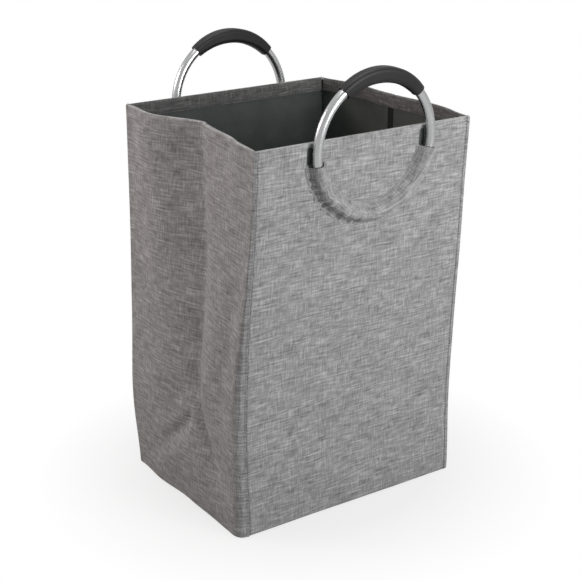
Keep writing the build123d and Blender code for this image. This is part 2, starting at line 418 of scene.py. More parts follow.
def math_node(tree, operation, first, second=None, third=None, clamp=False):
    node = tree.nodes.new("ShaderNodeMath")
    node.operation = operation
    node.use_clamp = clamp
    for slot, value in zip(node.inputs, (first, second, third)):
        if value is None:
            continue
        if isinstance(value, (int, float)):
            slot.default_value = value
        else:
            tree.links.new(value, slot)
    return node.outputs[0]


def stretched_noise(tree, vector, scale, detail=2.0, rough=0.5):
    stretch = tree.nodes.new("ShaderNodeVectorMath")
    stretch.operation = "MULTIPLY"
    stretch.inputs[1].default_value = scale
    tree.links.new(vector, stretch.inputs[0])
    noise = tree.nodes.new("ShaderNodeTexNoise")
    noise.inputs["Scale"].default_value = 1.0
    noise.inputs["Detail"].default_value = detail
    noise.inputs["Roughness"].default_value = rough
    tree.links.new(stretch.outputs[0], noise.inputs["Vector"])
    return noise.outputs["Fac"]


def mapped(tree, value, low, high, to_low=0.0, to_high=1.0):
    node = tree.nodes.new("ShaderNodeMapRange")
    node.clamp = True
    for slot, number in zip(node.inputs[1:5], (low, high, to_low, to_high)):
        slot.default_value = number
    tree.links.new(value, node.inputs[0])
    return node.outputs[0]


def linen_group():
    """Heathered linen look: uneven threads both ways with slubs, and the height of the weave."""
    tree, start, end = group_tree(
        "linen weave",
        [("Cloth", "NodeSocketVector", None), ("Thread", "NodeSocketFloat", 0.0009)],
        [("Tone", "NodeSocketFloat"), ("Height", "NodeSocketFloat")],
    )
    cloth = start.outputs["Cloth"]
    weft = stretched_noise(tree, cloth, (42, 400, 1), 3.0, 0.6)
    warp = stretched_noise(tree, cloth, (400, 70, 2), 3.0, 0.6)
    slub_across = mapped(tree, stretched_noise(tree, cloth, (28, 430, 3), 1.0), 0.58, 0.72)
    slub_up = mapped(tree, stretched_noise(tree, cloth, (430, 46, 4), 1.0), 0.59, 0.73)
    dark_across = mapped(tree, stretched_noise(tree, cloth, (38, 500, 5), 1.0), 0.60, 0.74)
    dark_up = mapped(tree, stretched_noise(tree, cloth, (500, 62, 6), 1.0), 0.61, 0.75)
    patch = stretched_noise(tree, cloth, (22, 22, 7), 2.0)
    blotch = stretched_noise(tree, cloth, (45, 110, 8), 2.0)
    threads = math_node(tree, "MULTIPLY_ADD", warp, 0.7, weft)
    tone = mapped(tree, threads, 0.48, 1.22)
    light = math_node(tree, "MULTIPLY", math_node(tree, "ADD", slub_up, slub_across), 0.20)
    shade = math_node(tree, "MULTIPLY", math_node(tree, "ADD", dark_across, dark_up), 0.22)
    tone = math_node(tree, "SUBTRACT", math_node(tree, "ADD", tone, light), shade)
    tone = math_node(tree, "ADD", tone, mapped(tree, patch, 0.3, 0.7, -0.06, 0.06))
    tone = math_node(tree, "ADD", tone, mapped(tree, blotch, 0.3, 0.7, -0.055, 0.055), clamp=True)
    tree.links.new(tone, end.inputs["Tone"])
    split = tree.nodes.new("ShaderNodeSeparateXYZ")
    tree.links.new(cloth, split.inputs[0])
    turn = math_node(tree, "DIVIDE", 2 * math.pi, start.outputs["Thread"])
    up = math_node(tree, "SINE", math_node(tree, "MULTIPLY", split.outputs["X"], turn))
    across = math_node(tree, "SINE", math_node(tree, "MULTIPLY", split.outputs["Y"], turn))
    check = math_node(tree, "MULTIPLY", up, across)
    height = math_node(tree, "MULTIPLY_ADD", check, 0.22, tone)
    tree.links.new(height, end.inputs["Height"])
    return tree


def hatch_group():
    """Fine diagonal hatch of the satin lining."""
    tree, start, end = group_tree(
        "satin hatch",
        [("Cloth", "NodeSocketVector", None), ("Pitch", "NodeSocketFloat", 0.0032)],
        [("Line", "NodeSocketFloat"), ("Mottle", "NodeSocketFloat")],
    )
    split = tree.nodes.new("ShaderNodeSeparateXYZ")
    tree.links.new(start.outputs["Cloth"], split.inputs[0])
    diagonal = math_node(tree, "ADD", split.outputs["X"], split.outputs["Y"])
    turn = math_node(tree, "DIVIDE", 2 * math.pi, start.outputs["Pitch"])
    wave = math_node(tree, "SINE", math_node(tree, "MULTIPLY", diagonal, turn))
    other = math_node(tree, "SUBTRACT", split.outputs["X"], split.outputs["Y"])
    rib = math_node(tree, "SINE", math_node(tree, "MULTIPLY", other, math_node(tree, "MULTIPLY", turn, 0.5)))
    line = math_node(tree, "MULTIPLY_ADD", rib, 0.35, wave)
    tree.links.new(mapped(tree, line, -1.2, 1.2), end.inputs["Line"])
    mottle = stretched_noise(tree, start.outputs["Cloth"], (34, 34, 1), 3.0)
    tree.links.new(mapped(tree, mottle, 0.3, 0.7), end.inputs["Mottle"])
    return tree


def grain_group():
    """Fine grain for moulded plastic, board and metal: a speckle and a slow variation."""
    tree, start, end = group_tree(
        "fine grain",
        [("Place", "NodeSocketVector", None), ("Size", "NodeSocketFloat", 900.0)],
        [("Speckle", "NodeSocketFloat"), ("Drift", "NodeSocketFloat")],
    )
    speckle = tree.nodes.new("ShaderNodeTexNoise")
    speckle.inputs["Detail"].default_value = 3.0
    tree.links.new(start.outputs["Place"], speckle.inputs["Vector"])
    tree.links.new(start.outputs["Size"], speckle.inputs["Scale"])
    tree.links.new(speckle.outputs["Fac"], end.inputs["Speckle"])
    drift = stretched_noise(tree, start.outputs["Place"], (40, 40, 40), 2.0)
    tree.links.new(drift, end.inputs["Drift"])
    return tree


LINEN = linen_group()
HATCH = hatch_group()
GRAIN = grain_group()


def tone_ramp(tree, value, stops):
    ramp = tree.nodes.new("ShaderNodeValToRGB")
    elements = ramp.color_ramp.elements
    while len(elements) < len(stops):
        elements.new(0.5)
    for element, (place, colour) in zip(elements, stops):
        element.position = place
        element.color = (*colour, 1.0)
    tree.links.new(value, ramp.inputs["Fac"])
    return ramp.outputs["Color"]


def bump(tree, height, strength, distance, shader):
    node = tree.nodes.new("ShaderNodeBump")
    node.inputs["Strength"].default_value = strength
    node.inputs["Distance"].default_value = distance
    tree.links.new(height, node.inputs["Height"])
    tree.links.new(node.outputs["Normal"], shader.inputs["Normal"])


def patterned(name, group, coordinates):
    """A new material with one of the pattern groups laid on it."""
    material, nodes, links = new_material(name)
    pattern = nodes.new("ShaderNodeGroup")
    pattern.node_tree = group
    links.new(nodes.new("ShaderNodeTexCoord").outputs[coordinates], pattern.inputs[0])
    return material, material.node_tree, nodes["Principled BSDF"], pattern


def linen_material(name, dark, middle, light):
    material, tree, shader, weave = patterned(name, LINEN, "UV")
    links = tree.links
    colour = tone_ramp(tree, weave.outputs["Tone"], [(0.0, dark), (0.5, middle), (1.0, light)])
    links.new(colour, shader.inputs["Base Color"])
    links.new(mapped(tree, weave.outputs["Tone"], 0, 1, 0.95, 0.82), shader.inputs["Roughness"])
    shader.inputs["Sheen Weight"].default_value = 0.12
    shader.inputs["Specular IOR Level"].default_value = 0.25
    bump(tree, weave.outputs["Height"], 0.55, 0.0005, shader)
    return material


def satin_material(name, dark, light):
    material, tree, shader, hatch = patterned(name, HATCH, "UV")
    links = tree.links
    mixed = math_node(tree, "MULTIPLY_ADD", hatch.outputs["Mottle"], 0.45, hatch.outputs["Line"])
    colour = tone_ramp(tree, mapped(tree, mixed, 0, 1.45), [(0.0, dark), (1.0, light)])
    links.new(colour, shader.inputs["Base Color"])
    links.new(mapped(tree, hatch.outputs["Line"], 0, 1, 0.62, 0.44), shader.inputs["Roughness"])
    shader.inputs["Sheen Weight"].default_value = 0.08
    bump(tree, hatch.outputs["Line"], 0.35, 0.0004, shader)
    return material


def grained_material(name, dark, light, size, rough, metallic=0.0, height=0.00008, strength=0.3, shine=0.5):
    material, tree, shader, grain = patterned(name, GRAIN, "Object")
    links = tree.links
    grain.inputs["Size"].default_value = size
    colour = tone_ramp(tree, grain.outputs["Drift"], [(0.3, dark), (0.7, light)])
    links.new(colour, shader.inputs["Base Color"])
    links.new(mapped(tree, grain.outputs["Speckle"], 0.25, 0.75, *rough), shader.inputs["Roughness"])
    shader.inputs["Metallic"].default_value = metallic
    shader.inputs["Specular IOR Level"].default_value = shine
    bump(tree, grain.outputs["Speckle"], strength, height, shader)
    return material


grey_linen = linen_material("grey linen", (0.120, 0.120, 0.121), (0.288, 0.288, 0.289), (0.50, 0.50, 0.50))
# The hem band's linen is a darker copy of the grey linen: partly the rim's darker facing, partly painted
# shade for the inside of the rim, which lies in shade
hem_linen_painted_shade = linen_material("hem linen with painted shade", (0.045, 0.044, 0.043), (0.110, 0.108, 0.106), (0.22, 0.22, 0.22))
dark_satin = satin_material("dark satin lining", (0.016, 0.0195, 0.0175), (0.074, 0.088, 0.080))
# Near-black sheet for the inside of each crease: painted shade of the groove where the lining sinks between
# the two stiffener boards
painted_crease_shade = grained_material(
    "black sheet of painted crease shade", (0.005, 0.005, 0.005), (0.010, 0.010, 0.010), 1500, (0.7, 0.8), shine=0.2
)
aluminium = grained_material(
    "satin aluminium", (0.46, 0.465, 0.47), (0.52, 0.525, 0.53), 300, (0.24, 0.30), 1.0, 0.00001, 0.02
)
grip_plastic = grained_material(
    "charcoal grip", (0.010, 0.010, 0.011), (0.016, 0.016, 0.017), 2600, (0.42, 0.52), shine=0.22
)
plug_plastic = grained_material("black plug", (0.02, 0.02, 0.02), (0.04, 0.04, 0.04), 1500, (0.5, 0.6))
stiff_board = grained_material("stiffener board", (0.50, 0.49, 0.46), (0.60, 0.59, 0.56), 700, (0.75, 0.9))
dark_thread = grained_material("dark thread", (0.030, 0.031, 0.032), (0.055, 0.056, 0.058), 3000, (0.6, 0.8))
grey_thread = grained_material("grey thread", (0.20, 0.20, 0.205), (0.32, 0.32, 0.325), 3000, (0.6, 0.8))


# Stitches, as short threads set along a line


def stitch_tree():
    tree, start, end = group_tree(
        "stitch row",
        [
            ("Geometry", "NodeSocketGeometry", None),
            ("Pitch", "NodeSocketFloat", 0.0036),
            ("Stitch Length", "NodeSocketFloat", 0.0026),
            ("Thread Width", "NodeSocketFloat", 0.0009),
            ("Thread", "NodeSocketMaterial", None),
        ],
        [("Geometry", "NodeSocketGeometry")],
        "GeometryNodeTree",
    )
    line = tree.nodes.new("GeometryNodeMeshToCurve")
    points = tree.nodes.new("GeometryNodeCurveToPoints")
    points.mode = "LENGTH"
    bead = tree.nodes.new("GeometryNodeMeshUVSphere")
    bead.inputs["Segments"].default_value = 6
    bead.inputs["Rings"].default_value = 5
    bead.inputs["Radius"].default_value = 0.5
    size = tree.nodes.new("ShaderNodeCombineXYZ")
    shape = tree.nodes.new("GeometryNodeTransform")
    aim = tree.nodes.new("FunctionNodeAlignRotationToVector")
    aim.axis = "X"
    put = tree.nodes.new("GeometryNodeInstanceOnPoints")
    real = tree.nodes.new("GeometryNodeRealizeInstances")
    smooth = tree.nodes.new("GeometryNodeSetShadeSmooth")
    paint = tree.nodes.new("GeometryNodeSetMaterial")
    for source, gives, target, takes in (
        (start, "Geometry", line, "Mesh"),
        (line, "Curve", points, "Curve"),
        (start, "Pitch", points, "Length"),
        (start, "Stitch Length", size, "X"),
        (start, "Thread Width", size, "Y"),
        (start, "Thread Width", size, "Z"),
        (bead, "Mesh", shape, "Geometry"),
        (size, "Vector", shape, "Scale"),
        (points, "Tangent", aim, "Vector"),
        (points, "Points", put, "Points"),
        (shape, "Geometry", put, "Instance"),
        (aim, "Rotation", put, "Rotation"),
        (put, "Instances", real, "Geometry"),
        (real, "Geometry", smooth, "Geometry"),
        (smooth, "Geometry", paint, "Geometry"),
        (start, "Thread", paint, "Material"),
        (paint, "Geometry", end, "Geometry"),
    ):
        tree.links.new(source.outputs[gives], target.inputs[takes])
    return tree, {s.name: s.identifier for s in tree.interface.items_tree if s.in_out == "INPUT"}


STITCHES, STITCH_INPUT = stitch_tree()


def stitch_row(name, lines, thread, pitch=0.0036, length=0.0026, width=0.0009):
    """Stitches along one or more lines of points, as one piece."""
    points = np.concatenate([np.asarray(line, float) for line in lines])
    edges, start = [], 0
    for line in lines:
        edges += [(start + i, start + i + 1) for i in range(len(line) - 1)]
        start += len(line)
    mesh = bpy.data.meshes.new(name)
    mesh.from_pydata([tuple(p) for p in points], edges, [])
    piece = bpy.data.objects.new(name, mesh)
    bpy.context.collection.objects.link(piece)
    rows = piece.modifiers.new("stitches", "NODES")
    rows.node_group = STITCHES
    rows[STITCH_INPUT["Pitch"]] = pitch
    rows[STITCH_INPUT["Stitch Length"]] = length
    rows[STITCH_INPUT["Thread Width"]] = width
    rows[STITCH_INPUT["Thread"]] = thread
    return finished(piece)


# Walls

# Distances over which the slope of a face is read, across a wall and in shares of a gusset's half depth
WALL_PROBE = 0.003
GUSSET_PROBE = 0.02


def wall_start(end):
    """Where a wall's cut lies on the bolt of cloth."""
    return (0.37 * (end + 2), 0.11)


def gusset_start(side):
    return (0.53 * (side + 3), 0.29)


def wall_layer(
    name, end, outline, holes, step, depth, thickness, material, rows=(), gathers=False, columns=()
):
    """A sheet of one wall, cut flat and laid at a depth under the wall's outer face."""
    verts, faces = cut_cloth(outline, holes, step, rows, columns)
    face = partial(wall_face, end, gathers=gathers)
    sink = depth(verts) if callable(depth) else depth
    points = lay(face, (0, -end, 0), verts[:, 0], verts[:, 1], sink, WALL_PROBE)
    inside = verts[:, 1].min() > HEIGHT
    faces = facing_out(points, faces, (0, end, 0) if inside else (0, -end, 0))
    uv = verts * (1.0, WALL_LENGTH / HEIGHT) + wall_start(end)
    piece = mesh_piece(name, points, faces, uv, material)
    return finished(piece, thickness=thickness), flat_area(verts, faces)


def oblong(half, low, high):
    return [(-half, low), (half, low), (half, high), (-half, high)]


def slot_outline(x, low, high, width):
    turns = np.linspace(0, np.pi, 13)
    r = width / 2
    upper = [(x + r * math.cos(t), high - r + r * math.sin(t)) for t in turns]
    lower = [(x - r * math.cos(t), low + r - r * math.sin(t)) for t in turns]
    return upper + lower


RIM_ROWS = [HEIGHT - RIM_RADIUS + RIM_RADIUS * np.pi * i / 6 for i in range(7)]
FOOT_ROWS = [FOOT_RADIUS - FOOT_RADIUS * np.pi / 2 * i / 4 for i in range(5)]
RIM_END = HEIGHT - RIM_RADIUS + np.pi * RIM_RADIUS
OVER_RIM = RIM_END + HEM_BAND
CLOTH_TOP = RIM_END + 0.003
HEM_START = RIM_END - 0.0022
HEM_STITCH_LINE = OVER_RIM - HEM_STITCH_INSET
LINING_TOP = HEIGHT - LINING_BELOW_RIM
UNDER_FOOT = FOOT_RADIUS * (1 - np.pi / 2) - 0.004

for end_name, end in ENDS.items():
    wall = f"{end_name}_wall"
    edge = WIDTH / 2 - SEAM_INSET
    slits = [
        slot_outline(x, HEIGHT - SLIT_END, HEIGHT - SLIT_BELOW_RIM, SLIT_WIDTH)
        for x in (-RING_RADIUS, RING_RADIUS)
    ]
    beside_seam = [s * (edge - d) for s in (-1, 1) for d in (0.0013, 0.0022)]

    def ditch(v, edge=edge):
        """Depth of the groove beside the corner seams, deepest on the left."""
        deep = np.where(v[:, 0] < 0, GROOVE_DEPTH[-1], GROOVE_DEPTH[1])
        return deep * ease(np.abs(v[:, 0]), edge - GROOVE_WIDTH, edge)

    cloth, area = wall_layer(
        f"{end_name}_wall_cloth", end, oblong(edge, UNDER_FOOT, CLOTH_TOP), slits, WALL_STEP, ditch,
        CLOTH * 0.8, grey_linen, RIM_ROWS + FOOT_ROWS, True, beside_seam,
    )
    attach(cloth, wall)
    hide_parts(f"{end_name}_cloth")

    # Band inside the rim, in the darker linen that also paints the shade there
    band, area = wall_layer(
        f"{end_name}_hem_band", end, oblong(edge, HEM_START, OVER_RIM),
        [], WALL_STEP, -HEM_PROUD, HEM_THICKNESS, hem_linen_painted_shade, RIM_ROWS,
    )
    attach(band, wall)
    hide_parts(f"{end_name}_hem")

    board, _ = wall_layer(
        f"{end_name}_stiffener", end,
        oblong(edge - BOARD_MARGIN, BOARD_MARGIN, HEIGHT - BOARD_MARGIN),
        [], 0.012, CLOTH, BOARD, stiff_board,
    )
    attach(board, wall)
    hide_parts(f"{end_name}_board")

    inner = WIDTH / 2 - STACK * 0.9
    lining, area = wall_layer(
        f"{end_name}_wall_lining", end, oblong(inner, BASE_TOP, LINING_TOP),
        [], 0.009, CLOTH + BOARD + LAYER_GAP, LINING, dark_satin,
    )
    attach(lining, wall)
    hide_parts(f"{end_name}_lining")

    across = np.linspace(-inner + 0.004, inner - 0.004, 60)
    low_edge = np.full_like(across, HEM_STITCH_LINE)
    row = lay(partial(wall_face, end, gathers=False), (0, -end, 0), across, low_edge, -0.0004, WALL_PROBE)
    hem_row = stitch_row(f"{end_name}_hem_stitches", [row], dark_thread)
    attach(hem_row, wall)

    for x in (-RING_RADIUS, RING_RADIUS):
        low, high = HEIGHT - SLIT_END - 0.004, HEIGHT - SLIT_BELOW_RIM + 0.002
        patch = slot_outline(x, low, high, SLIT_WIDTH + 0.008)
        name = f"{end_name}_{'left' if x < 0 else 'right'}_slit_facing"
        facing, _ = wall_layer(name, end, patch, [], 0.004, CLOTH * 0.86, 0.0004, dark_satin)
        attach(facing, wall)


# Gussets and gores


def fold_height(a):
    """Height of the slanting fold at a place between the corner (1) and the crease (0)."""
    p = 1 - np.abs(a)
    return (0.134 * p + FOLD_RISE) / (1 - 0.044 * p)


def corner_share(distance, z=0.25):
    """The share of the half depth at a distance in from a corner."""
    return 1 - distance / (FLOOR_DEPTH / 2 + LEAN * z)


def side_layer(name, side, outline, step, depth, thickness, material, rows=()):
    """A sheet of one gusset, cut flat and laid at a depth under the gusset's outer face."""
    flat = [(a * GUSSET_SCALE, z) for a, z in outline]
    verts, faces = cut_cloth(flat, [], step, rows)
    a = verts[:, 0] / GUSSET_SCALE
    points = lay(partial(side_face, side), (-side, 0, 0), a, verts[:, 1], depth, GUSSET_PROBE)
    inside = verts[:, 1].min() > HEIGHT
    faces = facing_out(points, faces, (side, 0, 0) if inside else (-side, 0, 0))
    uv = np.stack([points[:, 1], verts[:, 1]], axis=1) + gusset_start(side)
    piece = mesh_piece(name, points, faces, uv, material)
    return finished(piece, thickness=thickness), flat_area(verts, faces)


def gusset_outline(end, corner, crease, top, rise=0.0):
    """Outline of half a gusset in shares of the half depth, from its corner to the crease."""
    shares = np.linspace(corner, crease, 24)
    low = [(end * s, fold_height(s) + rise) for s in shares]
    return low + [(end * crease, top), (end * corner, top)]


def gore_outline(end, corner):
    high = [(end * s, fold_height(s)) for s in np.linspace(0.0, corner, 24)]
    return [(end * corner, UNDER_FOOT), (0.0, UNDER_FOOT)] + high


for side_name, side in SIDES.items():
    for end_name, end in ENDS.items():
        half = f"{side_name}_{end_name}"
        panel, foot = f"{half}_panel", f"{half}_foot"
        start = corner_share(0.0040 if end < 0 else 0.0068)

        def carried(piece, panel=panel):
            """A half rides on its panel, with a mesh of its own."""
            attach(piece, panel)
            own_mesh(piece)

        cloth, area = side_layer(
            f"{half}_gusset_sheet", side, gusset_outline(end, start, 0.0, CLOTH_TOP), GUSSET_STEP, 0.0,
            CLOTH * 0.8, grey_linen, RIM_ROWS,
        )
        carried(cloth)
        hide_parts(f"{half}_gusset_cloth")

        # Band inside the rim, in the darker linen that also paints the shade there
        band, area = side_layer(
            f"{half}_hem_band", side,
            [(end * start, HEM_START), (0.0, HEM_START), (0.0, OVER_RIM), (end * start, OVER_RIM)],
            GUSSET_STEP, -HEM_PROUD, HEM_THICKNESS, hem_linen_painted_shade, RIM_ROWS,
        )
        carried(band)
        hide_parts(f"{half}_gusset_hem")

        by_crease = 0.21 if end < 0 else 0.12
        board, _ = side_layer(
            f"{half}_stiffener", side,
            gusset_outline(end, corner_share(0.0122), by_crease, HEIGHT - BOARD_MARGIN, BOARD_MARGIN),
            0.008, CLOTH + 0.0002, BOARD - 0.0004, stiff_board,
        )
        carried(board)
        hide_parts(f"{half}_gusset_board")

        lining, area = side_layer(
            f"{half}_gusset_lining_sheet", side,
            gusset_outline(end, corner_share(STACK * 0.9), 0.0, LINING_TOP, 0.002),
            0.0075, CLOTH + BOARD + LAYER_GAP, LINING, dark_satin,
        )
        carried(lining)
        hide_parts(f"{half}_gusset_lining")

        # Painted shade: a near-black sheet inside the crease of the back halves, standing in for the shadow
        # in the groove between the boards
        if end_name == "back":
            tape, area = side_layer(
                f"{side_name}_crease_shade_sheet", side, gusset_outline(end, 0.075, 0.0, HEIGHT - 0.012, 0.004),
                0.0036, STACK + LAYER_GAP, 0.0004, painted_crease_shade,
            )
            carried(tape)

        shares = np.linspace(corner_share(0.006), 0.02, 40) * end
        low_edge = np.full_like(shares, HEM_STITCH_LINE)
        row = lay(partial(side_face, side), (-side, 0, 0), shares, low_edge, -0.0004, GUSSET_PROBE)
        hem_row = stitch_row(f"{half}_gusset_hem_stitches", [row], dark_thread)
        carried(hem_row)

        gore, area = side_layer(
            f"{half}_gore_sheet", side, gore_outline(end, start), GUSSET_STEP, 0.0,
            CLOTH * 0.9, grey_linen, FOOT_ROWS,
        )
        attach(gore, foot)
        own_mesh(gore)
        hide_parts(f"{half}_gore")


# Rolled corner seams, which ride on the walls


def run_along(points):
    """Distance from the first point along a line of points."""
    return np.concatenate([[0], np.cumsum(np.linalg.norm(np.diff(points, axis=0), axis=1))])


def corner_strip(side_name, end_name):
    """The gusset cloth brought round a corner and sewn to the wall: a small lip, the round, and a tail."""
    side, end = SIDES[side_name], ENDS[end_name]
    corner, wall = f"{side_name}_{end_name}", f"{end_name}_wall"
    proud_lip = 0.0015 if side < 0 else 0.0005
    lip = []
    for t in np.linspace(0.02, 0.98, 12):
        sunk = 0.0022 * (1 - ease(t, 0.0, 0.35))
        lip.append((-0.0040 + 0.0036 * t, sunk - proud_lip * math.sin(math.pi * t**0.6) ** 0.8))
    tail = [0.0004, 0.0009, 0.0016, 0.0025, 0.0035, 0.0047, 0.0060, 0.0075, 0.0090, 0.0105, 0.0120]
    heights = np.concatenate([
        [UNDER_FOOT + 0.0035 + (FOOT_RADIUS - UNDER_FOOT - 0.0035) * i / 6 for i in range(6)],
        np.linspace(FOOT_RADIUS, HEIGHT - RIM_RADIUS, 120),
        [HEIGHT - RIM_RADIUS + RIM_RADIUS * np.pi * i / 8 for i in range(1, 9)],
    ])
    spot = np.clip(heights, FOOT_RADIUS, HEIGHT - RIM_RADIUS)
    turn = np.clip((heights - spot) / RIM_RADIUS, 0, np.pi)
    curl = np.clip((spot - heights) / FOOT_RADIUS, 0, np.pi / 2)
    rise = (RIM_RADIUS * np.sin(turn) - FOOT_RADIUS * np.sin(curl))[:, None] * np.array((0, 0, 1.0))
    inset = RIM_RADIUS * (1 - np.cos(turn)) + FOOT_RADIUS * (1 - np.cos(curl))
    seam = np.stack([corner_x(side, end, spot), corner_y(end, spot), spot], axis=1)
    waver = 1 + 0.25 * np.sin(spot * 310) * np.sin(spot * 97 + side)
    columns = []
    for across, deep in lip:
        depth = deep * np.where(deep < 0, waver, 1.0) + inset
        columns.append(seam + np.array((side * across, 0, 0)) - np.outer(depth, (0, end, 0)) + rise)
    for i, distance in enumerate(tail):
        proud = 0.0004 * (1 - i / (len(tail) - 1)) - 0.00004
        share = end * corner_share(distance, spot)
        u, v = tangents(partial(side_face, side), share, spot, 0.002, 0.002)
        n = np.cross(u, v)
        n = n / np.linalg.norm(n, axis=1)[:, None] * np.sign(n @ np.array((side, end * 0.3, 0)))[:, None]
        columns.append(side_face(side, share, spot) + n * (proud - inset)[:, None] + rise)
    count, rows = len(columns), len(heights)
    points = np.stack(columns, axis=1).reshape(-1, 3)
    faces = facing_out(points, grid_faces(rows, count), (-side, -end, 0))
    length = run_along(np.stack(columns)[:, 60])  # along the row about half way up
    u = np.tile(end * (0.150 - (length - (length[-1] - tail[-1]))), rows)
    uv = np.stack([u, np.repeat(heights, count)], axis=1) + gusset_start(side)
    strip = mesh_piece(f"{corner}_corner_roll", points, faces, uv, grey_linen)
    finished(strip, thickness=0.0007)
    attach(strip, wall)
    upright = (heights >= FOOT_RADIUS) & (heights <= HEIGHT - RIM_RADIUS)
    # Close, thick dark stitches in the groove beside the seam: real stitching, and also painted shade for the
    # groove's dark line
    ditch_line = seam - np.array((0.0042 * side, 0.0004 * end, 0))
    sewn = stitch_row(f"{corner}_seam_shade_stitches", [ditch_line[upright]], dark_thread, 0.0040, 0.0038, 0.0013)
    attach(sewn, wall)


for side_name in SIDES:
    for end_name in ENDS:
        corner_strip(side_name, end_name)


# Gathered sleeves over the lower part of the rings


def ring_frame(end):
    along = np.array((0, end * LEAN, 1.0))
    along = along / np.linalg.norm(along)
    out = np.array((0, end, -LEAN))
    out = out / np.linalg.norm(out)
    foot = np.array((0, end * FLOOR_DEPTH / 2, 0))
    centre = foot + along * (WALL_LENGTH - RING_DROP)
    right = np.array((1.0, 0, 0))
    return centre, right, along, out


# Section of the sleeve from its inner to its outer seam: place across the ring, and height off the wall
SLEEVE_PROFILE = [
    (-0.0166, -0.0006), (-0.0152, 0.0002), (-0.0136, 0.0011), (-0.0119, 0.0029), (-0.0104, 0.0056),
    (-0.0088, 0.0086), (-0.0068, 0.0113), (-0.0045, 0.0132), (-0.0022, 0.0142), (0.0, 0.0145),
    (0.0022, 0.0141), (0.0043, 0.0129), (0.0062, 0.0108), (0.0076, 0.0082), (0.0086, 0.0056),
    (0.0096, 0.0034), (0.0108, 0.0018), (0.0122, 0.0009), (0.0136, 0.0003), (0.0148, -0.0006),
]


def sleeve_points(end, turns, profile):
    """The sleeve's outer face: its section carried round the ring, with gathers across it."""
    centre, right, along, out = ring_frame(end)
    w = np.array([p[0] for p in profile])[None, :]
    h = np.array([p[1] for p in profile])[None, :]
    t = turns[:, None]
    left = swell(t * -end, -3.45, -1.45)
    jitter = 1.6 * np.sin(t * 9.0 + 0.7) + 1.1 * np.sin(t * 17.0 + 2.0)
    fold = 0.5 + 0.5 * np.sin(t * 54 + jitter + 90 * w)
    pocket = 0.0052 * fold**4 * mound(w, 0.0090, 0.0034)
    tuck = 0.0026 * (1 - fold) ** 2 * mound(w, 0.0108, 0.0032) + 0.0018 * ease(w, 0.0118, 0.0148)
    crown = mound(w, 0.0, 0.010)
    mouth = ease(np.abs(t), SLEEVE_MOUTH, SLEEVE_MOUTH + 0.10)
    radius = RING_RADIUS + w + 0.0012 * left * np.sin(t * 31 + jitter)
    height = h + left * mouth * (tuck - pocket) + 0.0007 * (1 - mouth) * crown
    spread = (
        right[None, None, :] * (radius * np.sin(t))[:, :, None]
        + along[None, None, :] * (radius * np.cos(t))[:, :, None]
        + out[None, None, :] * height[:, :, None]
    )
    return centre + spread


for end_name, end in ENDS.items():
    turns = np.linspace(SLEEVE_MOUTH, 2 * np.pi - SLEEVE_MOUTH, 420)
    signed = np.where(turns > np.pi, turns - 2 * np.pi, turns)
    grid = sleeve_points(end, signed, SLEEVE_PROFILE)
    rows, count = grid.shape[:2]
    points = grid.reshape(-1, 3)
    faces = facing_out(points, grid_faces(rows, count), (0, -end, 0))
    reach = run_along(np.array(SLEEVE_PROFILE))
    uv = np.stack([np.repeat(turns * RING_RADIUS * 1.4, count), np.tile(reach, rows)], axis=1)
    uv = uv + wall_start(end)
    sleeve = mesh_piece(f"{end_name}_ring_sleeve", points, faces, uv, grey_linen)
    finished(sleeve, thickness=0.0009)
    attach(sleeve, f"{end_name}_wall")
    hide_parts(f"{end_name}_handle_sleeve")
    sewn_turns = np.linspace(SLEEVE_MOUTH + 0.04, 2 * np.pi - SLEEVE_MOUTH - 0.04, 220)
    seams = [(-0.0145, 0.0009), (0.0129, 0.0009)]
    lines = [sleeve_points(end, sewn_turns, [place])[:, 0] for place in seams]
    sewn = stitch_row(f"{end_name}_sleeve_stitches", lines, grey_thread, 0.0052, 0.0034, 0.0008)
    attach(sewn, f"{end_name}_wall")


# Base

BASE_INSET = 0.0005
BASE_MIDDLE_GAP = 0.0004


def base_sheet(name, end, height, thickness, material, rounding, up):
    """A sheet of one leaf of the base, with its edges rounded up or down."""
    half = WIDTH / 2 - BASE_INSET
    edge = FLOOR_DEPTH / 2 - BASE_SETBACK - BASE_INSET
    xs = np.linspace(-half, half, 60)
    ys = end * np.linspace(BASE_MIDDLE_GAP, edge, 26)
    grid = np.array([(x, y) for y in ys for x in xs])
    x, y = grid[:, 0], grid[:, 1]
    near = np.minimum.reduce([half - np.abs(x), edge - np.abs(y), np.abs(y) + 0.002])
    soft = 0.0003 * ripple(x, y, 51 + end, 0.09) * ease(near, 0, 0.03)
    lift = rounding * (1 - ease(near, 0.0, 0.006)) + soft
    points = np.column_stack([grid, height + lift])
    faces = facing_out(points, grid_faces(len(ys), len(xs)), (0, 0, -up))
    piece = mesh_piece(name, points, faces, grid + (1.7, 0.9), material)
    return finished(piece, thickness=thickness), 2 * half * (edge - BASE_MIDDLE_GAP)


for end_name, end in ENDS.items():
    leaf = f"{end_name}_leaf"
    under, area = base_sheet(f"{end_name}_base_cloth_sheet", end, 0.00045, 0.0007, grey_linen, 0.0004, -1)
    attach(under, leaf)
    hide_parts(f"{end_name}_base_cloth")
    floor_lining, area = base_sheet(
        f"{end_name}_base_lining_sheet", end, BASE_TOP, LINING, dark_satin, -0.0002, 1
    )
    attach(floor_lining, leaf)
    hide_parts(f"{end_name}_base_lining")


# Finishes of the rigid pieces that stay as built

for name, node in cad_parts.items():
    finish = None
    if name.endswith("_ring_tube"):
        finish = aluminium
    elif name.endswith("_ring_plug"):
        finish = plug_plastic
    elif "_grip_" in name:
        finish = grip_plastic
    elif name.endswith("_board"):
        finish = stiff_board
    if finish:
        node.data.materials.clear()
        node.data.materials.append(finish)


# Floor, backdrop, light and camera

# Share of the white surround that shiny pieces mirror
GLOSSY_WHITE = 0.68


